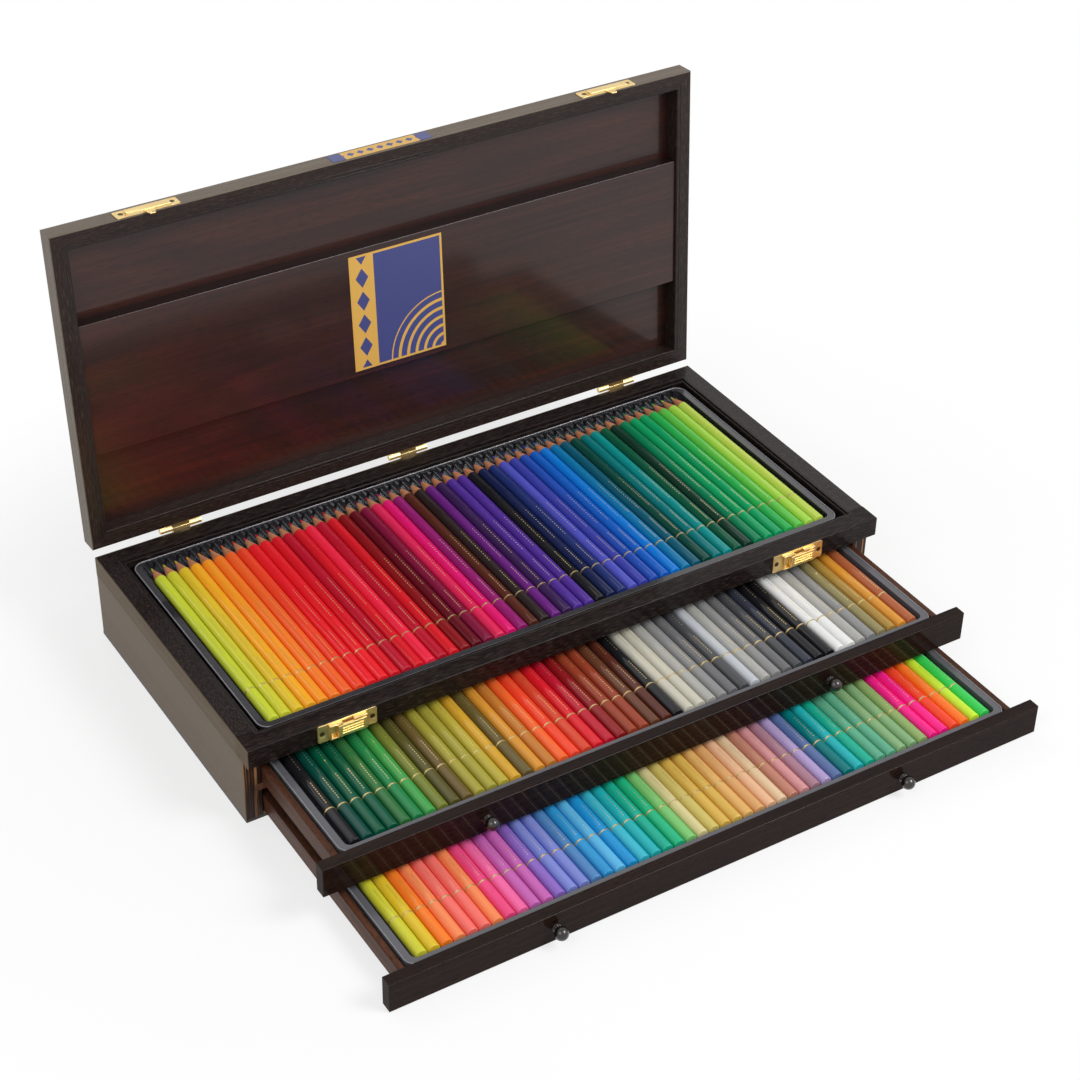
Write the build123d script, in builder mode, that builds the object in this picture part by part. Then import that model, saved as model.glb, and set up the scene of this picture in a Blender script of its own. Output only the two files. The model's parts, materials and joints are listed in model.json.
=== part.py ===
from build123d import *
import os

os.makedirs("parts", exist_ok=True)

# A wooden pencil box, in millimetres: a case with an open top tray, two drawers
# below it and a hinged lid.  X runs along the long side, Y to the back, Z up,
# from the centre of the case's underside.  It stands as when it is in use, with
# the lid on its stop and both drawers part way out.  It is sized from the inside
# out: the pencils set the trays, the trays set the drawers and the drawers the case.

# ---- Pencils ----
pencil_count = 50
pencil_pitch = 8.2
pencil_radius = 3.95
pencil_length = 175.0
pencil_cone_length = 14.3
pencil_lead_length = 4.0
pencil_lead_radius = 1.1
pencil_tip_radius = 0.25
pencil_stand = 0.8         # pencils stand this far above the rim of their tray
pencil_butt_gap = 2.5
pencil_tip_gap = 2.0
pencil_end_gap = 2.65      # beside the first and the last pencil

# ---- Trays ----
tray_side_rim = 5.0
tray_front_rim = 5.0
tray_back_rim = 3.5
tray_wall = 1.0
tray_corner_radius = 8.0
tray_foot_height = 2.3
tray_foot_width = 3.0
tray_foot_count = 4
tray_seat_gap = 0.1
groove_clearance = 0.1
groove_ridge = 1.3         # height of the ridges between the grooves
scallop_depth = 1.8        # the grooves run this far into the back rim

# ---- Drawers ----
drawer_tray_side_gap = 1.0
drawer_tray_end_gap = 0.5
drawer_side_height = 12.3
drawer_side_thickness = 4.5
drawer_back_thickness = 4.5
drawer_floor_thickness = 3.0
drawer_side_gap = 0.8
drawer_back_gap = 9.5      # behind a drawer that is pushed in
drawer_headroom = 3.4      # above the pencils of the upper drawer
slide_gap = 0.2
front_thickness = 8.0
front_height = 20.6
front_gap = 2.1            # between the two fronts
front_ground_gap = 0.5
upper_pull = 92.6
lower_pull = 168.4
knob_from_end = 106.5
knob_ball_radius = 4.35
knob_neck_radius = 1.9
knob_collar_radius = 2.9
knob_collar_length = 0.9
knob_reach = 5.75          # from the front's face to the ball's centre

# ---- Case ----
bottom_thickness = 2.2
side_thickness = 11.2
back_thickness = 9.0
shelf_thickness = 2.9
lower_runner_height = 1.9
upper_runner_height = 5.0
runner_grip = 2.3          # how far a runner reaches under a drawer side
runner_inset = 4.2         # how deep the upper runner is let into the side panel
runner_back_gap = 3.0
front_rail_width = 15.5
top_tray_side_gap = 2.5
top_tray_end_gap = 1.0
top_tray_drop = 3.2        # rim of the top tray below the top of the case
rebate_width = 1.7
rebate_depth = 1.5
edge_radius = 0.6

# ---- Lid ----
lid_height = 13.7
lid_gap = 0.5
lid_member_width = 11.0
lid_panel_thickness = 2.5
lid_panel_margin = 5.0
board_depth = 91.5
board_from_hinge_edge = 65.3
board_recess = 1.8
open_angle = 93.8
card_width = 68.5
card_height = 83.0
card_thickness = 0.3
edge_card_width = 71.0
edge_card_margin = 1.6
edge_card_offset = -4.0
edge_card_thickness = 0.2

# ---- Hinges ----
hinge_width = 29.0
hinge_from_end = 61.0
hinge_pin_radius = 1.0
hinge_pin_clearance = 0.05
hinge_barrel_radius = 1.9
hinge_pin_setback = 2.6    # pin behind the back face of the case
hinge_pin_rise = 1.3       # pin above the top of the case
hinge_block_width = 12.0
hinge_block_depth = 4.3
hinge_block_rise = 1.35    # block above the pin
hinge_block_foot = 1.0     # block below the top of its leaf
hinge_knuckle_gap = 0.15
leaf_thickness = 0.9
leaf_gap = 0.3
case_leaf_height = 12.0
lid_leaf_height = 9.5      # above the pin
lid_leaf_foot = 0.8        # below the pin
lid_leaf_screw_rise = 6.2
hinge_screw_spread = 18.0

# ---- Latches ----
latch_from_end = 65.0
plate_thickness = 0.8
plate_corner = 1.4
case_plate_width = 39.5
case_plate_height = 12.6
case_plate_drop = 0.6      # plate's top edge below the top of the case
housing_width = 25.0
housing_height = 10.6
housing_wall = 1.0
housing_rise = 2.2
slider_face_thickness = 2.0
slider_gap = 0.2
slider_end_gap = 0.4
slider_seat_gap = 0.1
slider_ridge_length = 14.0
slider_ridge_width = 0.7
slider_ridge_rise = 0.5
slider_ridge_pitch = 1.9
slider_ridge_count = 3
latch_travel = 3.6
lug_height = 1.0
lug_engagement = 1.6
tongue_length = 5.6        # tongue below the lid's underside
tongue_thickness = 1.0
tongue_root_width = 7.2
tongue_tip_width = 3.6
tongue_hook_height = 0.8   # tongue below its side notch
tongue_gap = 0.15
lid_plate_width = 42.0
lid_plate_height = 9.6
lid_plate_rise = 0.4       # plate's lower edge above the lid's underside
lid_bar_width = 29.0
lid_bar_height = 6.4
lid_bar_rise = 1.7
latch_screw_spread = 33.6

# ---- Screws ----
screw_head_radius = 1.75
screw_head_height = 0.7
screw_shank_radius = 0.8
screw_length = 7.0
screw_clearance = 0.03
slot_width = 0.45
slot_depth = 0.35
knob_screw_head_radius = 3.0
knob_screw_head_height = 1.8
knob_screw_radius = 1.2
knob_screw_grip = 3.0      # thread length inside the knob

# ---- Tray sizes, from the pencils ----
row_length = (pencil_count - 1) * pencil_pitch + 2 * pencil_radius
pocket_length = row_length + 2 * pencil_end_gap
pocket_depth = pencil_butt_gap + pencil_length + pencil_tip_gap
tray_length = pocket_length + 2 * tray_side_rim
tray_depth = tray_front_rim + pocket_depth + tray_back_rim
pencil_axis_drop = pencil_radius - pencil_stand
groove_radius = pencil_radius + groove_clearance
groove_bottom = pencil_axis_drop + groove_radius
tray_height = groove_bottom + tray_wall + tray_foot_height

# ---- Drawer sizes, from the trays ----
drawer_inner_half = tray_length / 2 + drawer_tray_side_gap
drawer_half_width = drawer_inner_half + drawer_side_thickness
drawer_inner_depth = tray_depth + 2 * drawer_tray_end_gap
drawer_box_depth = drawer_inner_depth + drawer_back_thickness
drawer_rim_height = drawer_floor_thickness + tray_seat_gap + tray_height
drawer_content_height = drawer_rim_height + pencil_stand

# ---- Case sizes, from the drawers and the top tray ----
inner_half_length = drawer_half_width + drawer_side_gap
case_length = 2 * (inner_half_length + side_thickness)
case_depth = front_thickness + drawer_box_depth + drawer_back_gap + back_thickness
case_front_y = -case_depth / 2
case_back_y = case_depth / 2
panel_front_y = case_front_y + front_thickness
back_panel_y = case_back_y - back_thickness
case_middle_y = (panel_front_y + case_back_y) / 2
panel_depth = case_back_y - panel_front_y
inner_depth = back_panel_y - panel_front_y
inner_middle_y = (panel_front_y + back_panel_y) / 2
runner_depth = inner_depth - runner_back_gap

lower_drawer_z = bottom_thickness + lower_runner_height + slide_gap
upper_drawer_z = lower_drawer_z + front_height + front_gap
front_drop = lower_drawer_z - front_ground_gap
upper_runner_z = upper_drawer_z - slide_gap - upper_runner_height
shelf_bottom_z = upper_drawer_z + drawer_content_height + drawer_headroom
rail_bottom_z = shelf_bottom_z + shelf_thickness
side_panel_height = rail_bottom_z - bottom_thickness
side_panel_x = inner_half_length + side_thickness / 2
top_rim_z = rail_bottom_z + tray_seat_gap + tray_height
case_height = top_rim_z + top_tray_drop
rail_height = case_height - rail_bottom_z

opening_half_length = tray_length / 2 + top_tray_side_gap
opening_front_y = case_front_y + front_rail_width
opening_depth = tray_depth + 2 * top_tray_end_gap
opening_back_y = opening_front_y + opening_depth
opening_middle_y = (opening_front_y + opening_back_y) / 2

lid_bottom_z = case_height + lid_gap
lid_top_z = lid_bottom_z + lid_height
lid_panel_z = lid_top_z - lid_panel_thickness
pin_y = case_back_y + hinge_pin_setback
pin_z = case_height + hinge_pin_rise

# The lid's pieces are drawn where they lie with the lid shut, on planes that are
# then turned about the hinge pin to the open stop.
lid_place = Pos(0, pin_y, pin_z) * Rot(-open_angle, 0, 0) * Pos(0, -pin_y, -pin_z)


def on_lid(plane):
    return Plane(lid_place * plane.location)


def save(name, builder):
    builder.part.label = name
    export_step(builder.part, "parts/" + name + ".step")


def facing_front(y):
    """A plane at y that faces the front; its own Y runs up."""
    return Plane(origin=(0, y, 0), x_dir=(1, 0, 0), z_dir=(0, -1, 0))


def facing_back(y):
    """A plane at y that faces the back; its own Y runs up."""
    return Plane(origin=(0, y, 0), x_dir=(-1, 0, 0), z_dir=(0, 1, 0))


# ---- Screws: one shape for the screw and, a little larger, for its hole ----


def screws(places, head_radius, head_height, shank_radius, length):
    """Slotted countersunk screws, heads flush with the plane of each place."""
    with BuildPart() as group:
        with Locations(*places):
            Cone(shank_radius, head_radius, head_height, align=(Align.CENTER, Align.CENTER, Align.MAX))
            Cylinder(shank_radius, length, align=(Align.CENTER, Align.CENTER, Align.MAX))
            Box(
                2 * head_radius,
                slot_width,
                slot_depth,
                align=(Align.CENTER, Align.CENTER, Align.MAX),
                mode=Mode.SUBTRACT,
            )
    return group


def screw_holes(places, head_radius, head_height, shank_radius, length):
    """Cuts the countersunk holes for the same screws out of the part being built."""
    gap = screw_clearance
    with Locations(*places):
        Cone(
            shank_radius + gap,
            head_radius + gap,
            head_height,
            align=(Align.CENTER, Align.CENTER, Align.MAX),
            mode=Mode.SUBTRACT,
        )
        Cylinder(
            shank_radius + gap,
            length + gap,
            align=(Align.CENTER, Align.CENTER, Align.MAX),
            mode=Mode.SUBTRACT,
        )


def places_on(plane, points):
    return [plane.location * Pos(*point) for point in points]


def pairs(middles, spread, height):
    """Two points either side of each middle, all at one height."""
    return [(middle + side * spread / 2, height) for middle in middles for side in (-1, 1)]


small_screw = (screw_head_radius, screw_head_height, screw_shank_radius, screw_length)
knob_screw = (
    knob_screw_head_radius,
    knob_screw_head_height,
    knob_screw_radius,
    front_thickness + knob_screw_grip,
)

hinge_spacing = case_length / 2 - hinge_from_end
hinge_middles = (-hinge_spacing, 0, hinge_spacing)
case_leaf_top_z = pin_z - hinge_barrel_radius - leaf_gap
case_leaf_middle_z = case_leaf_top_z - case_leaf_height / 2
case_leaf_places = places_on(
    facing_back(case_back_y + leaf_thickness),
    pairs(hinge_middles, hinge_screw_spread, case_leaf_middle_z),
)
lid_leaf_places = places_on(
    on_lid(facing_back(case_back_y + leaf_thickness)),
    pairs(hinge_middles, hinge_screw_spread, pin_z + lid_leaf_screw_rise),
)

latch_spread = case_length - 2 * latch_from_end
latch_middles = (-latch_spread / 2, latch_spread / 2)
case_plate_top_z = case_height - case_plate_drop
case_plate_middle_z = case_plate_top_z - case_plate_height / 2
case_plate_y = case_front_y - plate_thickness
case_plate_places = places_on(
    facing_front(case_plate_y), pairs(latch_middles, latch_screw_spread, case_plate_middle_z)
)
lid_plate_z = lid_bottom_z + lid_plate_rise
lid_plate_middle_z = lid_plate_z + lid_plate_height / 2
lid_plate_places = places_on(
    on_lid(facing_front(case_plate_y)),
    pairs(latch_middles, latch_screw_spread, lid_plate_middle_z),
)

# ---- Case panels ----

with BuildPart() as case_bottom:
    with BuildSketch(Plane.XY):
        with Locations((0, case_middle_y)):
            Rectangle(case_length, panel_depth)
    extrude(amount=bottom_thickness)
save("case_bottom", case_bottom)

for side_name, side in (("left", -1), ("right", 1)):
    with BuildPart() as side_panel:
        with BuildSketch(Plane.XY.offset(bottom_thickness)):
            with Locations((side * side_panel_x, case_middle_y)):
                Rectangle(side_thickness, panel_depth)
        extrude(amount=side_panel_height)
        outer_face = side_panel.faces().sort_by(Axis.X)[0 if side < 0 else -1]
        fillet(outer_face.edges().filter_by(Axis.Z), edge_radius)
        with BuildSketch(Plane.XY.offset(upper_runner_z)):
            with Locations((side * (inner_half_length + runner_inset / 2), panel_front_y)):
                Rectangle(runner_inset, runner_depth, align=(Align.CENTER, Align.MIN))
        extrude(amount=upper_runner_height, mode=Mode.SUBTRACT)
    save("case_" + side_name + "_side", side_panel)

with BuildPart() as case_back:
    with BuildSketch(Plane.XY.offset(bottom_thickness)):
        with Locations((0, case_back_y - back_thickness / 2)):
            Rectangle(2 * inner_half_length, back_thickness)
    extrude(amount=side_panel_height)
save("case_back", case_back)

with BuildPart() as tray_shelf:
    with BuildSketch(Plane.XY.offset(shelf_bottom_z)):
        with Locations((0, inner_middle_y)):
            Rectangle(2 * inner_half_length, inner_depth)
    extrude(amount=shelf_thickness)
save("tray_shelf", tray_shelf)

runner_levels = (
    ("lower_runners", bottom_thickness, lower_runner_height, 0),
    ("upper_runners", upper_runner_z, upper_runner_height, runner_inset),
)
for runner_name, runner_z, runner_height, inset in runner_levels:
    runner_inner_x = drawer_half_width - runner_grip
    runner_outer_x = inner_half_length + inset
    with BuildPart() as runners:
        with BuildSketch(Plane.XY.offset(runner_z)):
            for side in (-1, 1):
                with Locations((side * (runner_inner_x + runner_outer_x) / 2, panel_front_y)):
                    Rectangle(
                        runner_outer_x - runner_inner_x,
                        runner_depth,
                        align=(Align.CENTER, Align.MIN),
                    )
        extrude(amount=runner_height)
    save(runner_name, runners)

# ---- Top frame, four butt-jointed rails with a rebate around the tray ----

side_rail_width = case_length / 2 - opening_half_length
side_rail_middle_x = opening_half_length + side_rail_width / 2
side_rail_depth = case_back_y - opening_front_y
side_rail_middle_y = (case_back_y + opening_front_y) / 2
back_rail_width = case_back_y - opening_back_y

rails = (
    ("front_rail", 0, case_front_y + front_rail_width / 2, case_length, front_rail_width),
    ("back_rail", 0, case_back_y - back_rail_width / 2, 2 * opening_half_length, back_rail_width),
    ("left_rail", -side_rail_middle_x, side_rail_middle_y, side_rail_width, side_rail_depth),
    ("right_rail", side_rail_middle_x, side_rail_middle_y, side_rail_width, side_rail_depth),
)
for rail_name, rail_x, rail_y, rail_length, rail_width in rails:
    with BuildPart() as rail:
        with BuildSketch(Plane.XY.offset(rail_bottom_z)):
            with Locations((rail_x, rail_y)):
                Rectangle(rail_length, rail_width)
        extrude(amount=rail_height)
        if rail_name == "front_rail":
            long_edges = rail.edges().filter_by(Axis.X)
            fillet(long_edges.group_by(Axis.Y)[0], edge_radius)
        if rail_name in ("left_rail", "right_rail"):
            outer_face = rail.faces().sort_by(Axis.X)[0 if rail_x < 0 else -1]
            fillet(outer_face.edges().filter_by(Axis.Y).sort_by(Axis.Z)[-1], edge_radius)
        with BuildSketch(Plane.XY.offset(case_height)):
            with Locations((0, opening_middle_y)):
                Rectangle(
                    2 * (opening_half_length + rebate_width),
                    opening_depth + 2 * rebate_width,
                )
        extrude(amount=-rebate_depth, mode=Mode.SUBTRACT)
        if rail_name == "front_rail":
            screw_holes(case_plate_places, *small_screw)
        if rail_name == "back_rail":
            screw_holes(case_leaf_places, *small_screw)
    save(rail_name, rail)

# ---- Trays and pencils, the same three times over ----

pocket_offset_y = (tray_front_rim - tray_back_rim) / 2
pocket_corner = tray_corner_radius - min(tray_side_rim, tray_front_rim) + tray_wall
groove_start_y = -tray_depth / 2 + tray_front_rim
foot_pitch = pocket_depth / tray_foot_count

# The tray is drawn with its rim's top at zero and the middle of its depth at zero.
with BuildPart() as tray:
    with BuildSketch(Plane.XY):
        RectangleRounded(tray_length, tray_depth, tray_corner_radius)
    extrude(amount=-tray_height)
    fillet(tray.faces().sort_by(Axis.Z)[-1].edges(), tray_wall / 2)
    with BuildSketch(Plane.XY):
        with Locations((0, pocket_offset_y)):
            RectangleRounded(pocket_length, pocket_depth, pocket_corner)
    extrude(amount=-(groove_bottom - groove_ridge), mode=Mode.SUBTRACT)
    groove_plane = Plane(
        origin=(0, groove_start_y, -pencil_axis_drop), x_dir=(1, 0, 0), z_dir=(0, 1, 0)
    )
    with BuildSketch(groove_plane):
        with GridLocations(pencil_pitch, 0, pencil_count, 1):
            Circle(groove_radius)
    extrude(amount=pocket_depth + scallop_depth, mode=Mode.SUBTRACT)
    with BuildSketch(Plane.XY.offset(-tray_height)):
        RectangleRounded(
            tray_length - 2 * tray_wall,
            tray_depth - 2 * tray_wall,
            tray_corner_radius - tray_wall,
        )
        with Locations((0, groove_start_y - tray_wall)):
            Rectangle(
                pocket_length + 2 * tray_wall,
                tray_depth,
                align=(Align.CENTER, Align.MIN),
                mode=Mode.SUBTRACT,
            )
    extrude(amount=tray_height - tray_wall, mode=Mode.SUBTRACT)
    with BuildSketch(Plane.XY.offset(-tray_height)):
        with Locations((0, pocket_offset_y)):
            with GridLocations(0, foot_pitch, 1, tray_foot_count):
                Rectangle(pocket_length, foot_pitch - tray_foot_width)
    extrude(amount=tray_foot_height, mode=Mode.SUBTRACT)

# A sharpened round pencil, its butt at zero and its point to the back.
with BuildPart() as pencil:
    with BuildSketch(Plane.XY):
        with BuildLine():
            Polyline(
                (0, 0),
                (pencil_radius, 0),
                (pencil_radius, pencil_length - pencil_cone_length),
                (pencil_lead_radius, pencil_length - pencil_lead_length),
                (pencil_tip_radius, pencil_length),
                (0, pencil_length),
                close=True,
            )
        make_face()
    revolve(axis=Axis.Y)


def save_tray_and_pencils(tray_name, middle_y, top_z):
    """Writes a tray, and its row of pencils in the grooves."""
    with BuildPart() as placed_tray:
        with Locations((0, middle_y, top_z)):
            add(tray.part)
    save(tray_name, placed_tray)
    butt_y = middle_y + groove_start_y + pencil_butt_gap
    with BuildPart() as row:
        with Locations((0, butt_y, top_z - pencil_axis_drop)):
            with GridLocations(pencil_pitch, 0, pencil_count, 1):
                add(pencil.part)
    save(tray_name + "_pencils", row)


save_tray_and_pencils("top_tray", opening_middle_y, top_rim_z)

# ---- Drawers ----


def save_drawer(drawer_name, floor_z, pull):
    """Writes one drawer's pieces, pulled out of the case by the length given."""
    box_front_y = panel_front_y - pull
    box_back_y = box_front_y + drawer_inner_depth
    side_x = drawer_half_width - drawer_side_thickness / 2
    knob_z = floor_z - front_drop + front_height / 2
    knob_points = pairs((0,), case_length - 2 * knob_from_end, knob_z)
    knob_screw_places = places_on(facing_back(box_front_y), knob_points)

    with BuildPart() as front:
        with BuildSketch(Plane.XY.offset(floor_z - front_drop)):
            with Locations((0, box_front_y - front_thickness / 2)):
                Rectangle(case_length, front_thickness)
        extrude(amount=front_height)
        fillet(front.faces().sort_by(Axis.Y)[0].edges(), edge_radius)
        screw_holes(knob_screw_places, *knob_screw)
    save(drawer_name + "_front", front)

    for side_name, side in (("left", -1), ("right", 1)):
        with BuildPart() as drawer_side:
            with BuildSketch(Plane.XY.offset(floor_z)):
                with Locations((side * side_x, box_front_y)):
                    Rectangle(
                        drawer_side_thickness,
                        drawer_box_depth,
                        align=(Align.CENTER, Align.MIN),
                    )
            extrude(amount=drawer_side_height)
            top_edges = drawer_side.edges().filter_by(Axis.Y).group_by(Axis.Z)[-1]
            fillet(top_edges, edge_radius)
        save(drawer_name + "_" + side_name + "_side", drawer_side)

    with BuildPart() as drawer_back:
        with BuildSketch(Plane.XY.offset(floor_z)):
            with Locations((0, box_back_y + drawer_back_thickness / 2)):
                Rectangle(2 * drawer_inner_half, drawer_back_thickness)
        extrude(amount=drawer_side_height)
    save(drawer_name + "_back", drawer_back)

    with BuildPart() as drawer_floor:
        with BuildSketch(Plane.XY.offset(floor_z)):
            with Locations((0, (box_front_y + box_back_y) / 2)):
                Rectangle(2 * drawer_inner_half, drawer_inner_depth)
        extrude(amount=drawer_floor_thickness)
    save(drawer_name + "_floor", drawer_floor)

    tray_middle_y = (box_front_y + box_back_y) / 2
    save_tray_and_pencils(drawer_name + "_tray", tray_middle_y, floor_z + drawer_rim_height)

    with BuildPart() as knobs:
        for knob_x, height in knob_points:
            knob_plane = Plane(
                origin=(knob_x, box_front_y - front_thickness, height),
                x_dir=(1, 0, 0),
                z_dir=(0, 0, -1),
            )
            with BuildSketch(knob_plane):
                Rectangle(knob_collar_radius, knob_collar_length, align=(Align.MIN, Align.MIN))
                Rectangle(knob_neck_radius, knob_reach, align=(Align.MIN, Align.MIN))
                with Locations((0, knob_reach)):
                    Circle(knob_ball_radius)
                Rectangle(
                    2 * knob_ball_radius,
                    4 * knob_ball_radius + 2 * knob_reach,
                    align=(Align.MAX, Align.CENTER),
                    mode=Mode.SUBTRACT,
                )
            revolve(axis=Axis(knob_plane.origin, (0, 1, 0)))
        screw_holes(knob_screw_places, *knob_screw)
    save(drawer_name + "_knobs", knobs)

    knob_screws = screws(knob_screw_places, *knob_screw)
    save(drawer_name + "_knob_screws", knob_screws)


save_drawer("lower_drawer", lower_drawer_z, lower_pull)
save_drawer("upper_drawer", upper_drawer_z, upper_pull)

# ---- Lid: a mitred frame, a thin panel in its rabbet and a board across the middle ----

lid_up = Axis((0, 0, 0), on_lid(Plane.XY).z_dir)
lid_half_length = case_length / 2
lid_half_depth = case_depth / 2
lid_inner_half_length = lid_half_length - lid_member_width
lid_inner_half_depth = lid_half_depth - lid_member_width
lid_corners = ((-1, -1), (1, -1), (1, 1), (-1, 1))

for member_number, member_name in enumerate(("front", "right", "back", "left")):
    here = lid_corners[member_number]
    following = lid_corners[(member_number + 1) % 4]
    with BuildPart() as member:
        with BuildSketch(on_lid(Plane.XY.offset(lid_bottom_z))):
            with BuildLine():
                Polyline(
                    (here[0] * lid_half_length, here[1] * lid_half_depth),
                    (following[0] * lid_half_length, following[1] * lid_half_depth),
                    (following[0] * lid_inner_half_length, following[1] * lid_inner_half_depth),
                    (here[0] * lid_inner_half_length, here[1] * lid_inner_half_depth),
                    close=True,
                )
            make_face()
        extrude(amount=lid_height)
        underside = member.faces().sort_by(lid_up)[0]
        fillet(underside.edges().sort_by(SortBy.LENGTH)[-2:], edge_radius)
        with BuildSketch(on_lid(Plane.XY.offset(lid_panel_z))):
            Rectangle(case_length - 2 * lid_panel_margin, case_depth - 2 * lid_panel_margin)
        extrude(amount=lid_panel_thickness, mode=Mode.SUBTRACT)
        if member_name == "front":
            screw_holes(lid_plate_places, *small_screw)
        if member_name == "back":
            screw_holes(lid_leaf_places, *small_screw)
    save("lid_" + member_name + "_member", member)

with BuildPart() as lid_top_panel:
    with BuildSketch(on_lid(Plane.XY.offset(lid_panel_z))):
        Rectangle(case_length - 2 * lid_panel_margin, case_depth - 2 * lid_panel_margin)
    extrude(amount=lid_panel_thickness)
save("lid_top_panel", lid_top_panel)

board_z = lid_bottom_z + board_recess
board_middle_y = lid_half_depth - board_from_hinge_edge - board_depth / 2
with BuildPart() as lid_centre_board:
    with BuildSketch(on_lid(Plane.XY.offset(board_z))):
        with Locations((0, board_middle_y)):
            Rectangle(2 * lid_inner_half_length, board_depth)
    extrude(amount=lid_panel_z - board_z)
    board_face = lid_centre_board.faces().sort_by(lid_up)[0]
    fillet(board_face.edges().filter_by(Axis.X), edge_radius)
save("lid_centre_board", lid_centre_board)

with BuildPart() as lid_card:
    with BuildSketch(on_lid(Plane.XY.offset(board_z))):
        with Locations((0, board_middle_y)):
            Rectangle(card_width, card_height)
    extrude(amount=-card_thickness)
save("lid_card", lid_card)

with BuildPart() as lid_edge_card:
    with BuildSketch(on_lid(facing_front(case_front_y))):
        with Locations((edge_card_offset, lid_bottom_z + lid_height / 2)):
            Rectangle(edge_card_width, lid_height - 2 * edge_card_margin)
    extrude(amount=edge_card_thickness)
save("lid_edge_card", lid_edge_card)

# ---- Stop hinges: a block on the case leaf between two knuckles of the lid leaf ----

with BuildPart() as hinge_case_leaves:
    with BuildSketch(facing_back(case_back_y)):
        with Locations((0, case_leaf_middle_z)):
            with GridLocations(hinge_spacing, 0, len(hinge_middles), 1):
                Rectangle(hinge_width, case_leaf_height)
    extrude(amount=leaf_thickness)
    block_bottom_z = case_leaf_top_z - hinge_block_foot
    with BuildSketch(facing_back(pin_y - hinge_block_depth / 2)):
        with Locations((0, block_bottom_z)):
            with GridLocations(hinge_spacing, 0, len(hinge_middles), 1):
                Rectangle(
                    hinge_block_width,
                    pin_z + hinge_block_rise - block_bottom_z,
                    align=(Align.CENTER, Align.MIN),
                )
    extrude(amount=hinge_block_depth)
    with BuildSketch(Plane.YZ):
        with Locations((pin_y, pin_z)):
            Circle(hinge_pin_radius + hinge_pin_clearance)
    extrude(amount=case_length / 2, both=True, mode=Mode.SUBTRACT)
    screw_holes(case_leaf_places, *small_screw)
save("hinge_case_leaves", hinge_case_leaves)

with BuildPart() as hinge_pins:
    for middle in hinge_middles:
        with BuildSketch(Plane.YZ.offset(middle - hinge_width / 2)):
            with Locations((pin_y, pin_z)):
                Circle(hinge_pin_radius)
        extrude(amount=hinge_width)
save("hinge_pins", hinge_pins)

knuckle_inner_x = hinge_block_width / 2 + hinge_knuckle_gap
with BuildPart() as hinge_lid_leaves:
    with BuildSketch(on_lid(facing_back(case_back_y))):
        with Locations((0, pin_z - lid_leaf_foot)):
            with GridLocations(hinge_spacing, 0, len(hinge_middles), 1):
                Rectangle(
                    hinge_width,
                    lid_leaf_foot + lid_leaf_height,
                    align=(Align.CENTER, Align.MIN),
                )
                Rectangle(
                    2 * knuckle_inner_x,
                    lid_leaf_foot + hinge_block_depth / 2 + leaf_gap,
                    align=(Align.CENTER, Align.MIN),
                    mode=Mode.SUBTRACT,
                )
    extrude(amount=leaf_thickness)
    for middle in hinge_middles:
        for knuckle_start_x in (middle - hinge_width / 2, middle + knuckle_inner_x):
            with BuildSketch(on_lid(Plane.YZ.offset(knuckle_start_x))):
                with Locations((pin_y, pin_z)):
                    Circle(hinge_barrel_radius)
                with Locations((case_back_y, pin_z - lid_leaf_foot)):
                    Rectangle(
                        hinge_pin_setback,
                        lid_leaf_foot + hinge_barrel_radius,
                        align=(Align.MIN, Align.MIN),
                    )
                with Locations((pin_y, pin_z)):
                    Circle(hinge_pin_radius + hinge_pin_clearance, mode=Mode.SUBTRACT)
            extrude(amount=hinge_width / 2 - knuckle_inner_x)
    screw_holes(lid_leaf_places, *small_screw)
save("hinge_lid_leaves", hinge_lid_leaves)

hinge_case_screws = screws(case_leaf_places, *small_screw)
save("hinge_case_screws", hinge_case_screws)
hinge_lid_screws = screws(lid_leaf_places, *small_screw)
save("hinge_lid_screws", hinge_lid_screws)

# ---- Latches: a sliding catch in a housing, and a hooked tongue on the lid ----

tongue_tip_z = lid_bottom_z - tongue_length
tongue_front_y = case_plate_y - tongue_gap
notch_z = tongue_tip_z + tongue_hook_height
notch_height = lug_height + 2 * slider_gap
tongue_passage = tongue_root_width + 2 * slider_gap
window_width = housing_width - 2 * housing_wall
window_height = housing_height - 2 * housing_wall
slider_width = window_width - latch_travel - 2 * slider_gap - slider_end_gap
slider_height = window_height - 2 * slider_gap
slider_offset = (window_width - slider_width) / 2 - slider_gap
lug_rest_x = latch_travel + tongue_tip_width / 2 - lug_engagement
notch_inner_x = tongue_tip_width / 2 - lug_engagement - slider_gap

with BuildPart() as case_latch_plates:
    with BuildSketch(facing_front(case_front_y)):
        with Locations((0, case_plate_middle_z)):
            with GridLocations(latch_spread, 0, 2, 1):
                RectangleRounded(case_plate_width, case_plate_height, plate_corner)
    extrude(amount=plate_thickness)
    with BuildSketch(facing_front(case_plate_y)):
        with Locations((0, case_plate_middle_z)):
            with GridLocations(latch_spread, 0, 2, 1):
                Rectangle(housing_width, housing_height)
                Rectangle(window_width, window_height, mode=Mode.SUBTRACT)
    extrude(amount=housing_rise)
    with BuildSketch(facing_front(case_plate_y)):
        with Locations((0, case_plate_middle_z)):
            with GridLocations(latch_spread, 0, 2, 1):
                Rectangle(tongue_passage, case_plate_height, align=(Align.CENTER, Align.MIN))
    extrude(amount=housing_rise, mode=Mode.SUBTRACT)
    screw_holes(case_plate_places, *small_screw)
save("case_latch_plates", case_latch_plates)

case_latch_screws = screws(case_plate_places, *small_screw)
save("case_latch_screws", case_latch_screws)

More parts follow.
